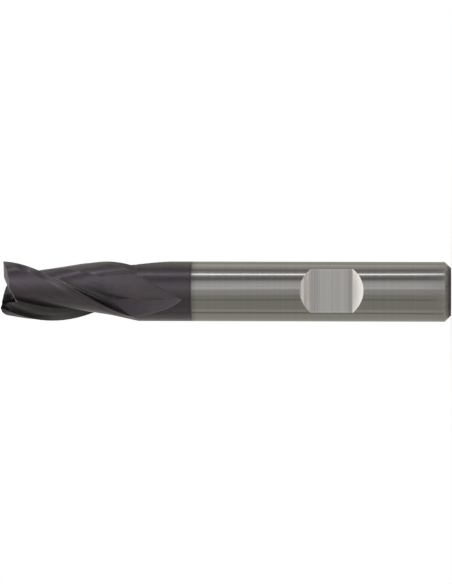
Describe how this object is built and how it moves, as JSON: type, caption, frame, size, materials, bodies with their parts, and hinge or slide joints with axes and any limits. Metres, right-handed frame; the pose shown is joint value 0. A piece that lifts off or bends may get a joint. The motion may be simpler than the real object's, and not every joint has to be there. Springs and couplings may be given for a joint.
{
  "type": "end mill",
  "caption": "Coated solid carbide end mill with spiral flutes, centre cutting end teeth and a round shank with a ground side-lock flat",
  "frame": {"origin": "centre of the shank's end face, on which the tool stands", "axes": "+Z runs along the tool axis from the shank end to the end teeth; the clamping flat faces -Y; +X follows from the right hand"},
  "size_m": [0.01, 0.01, 0.075],
  "materials": {
    "ground_carbide": "satin"
  },
  "bodies": {
    "root": {"end_mill": "ground_carbide"}
  },
  "joints": []
}
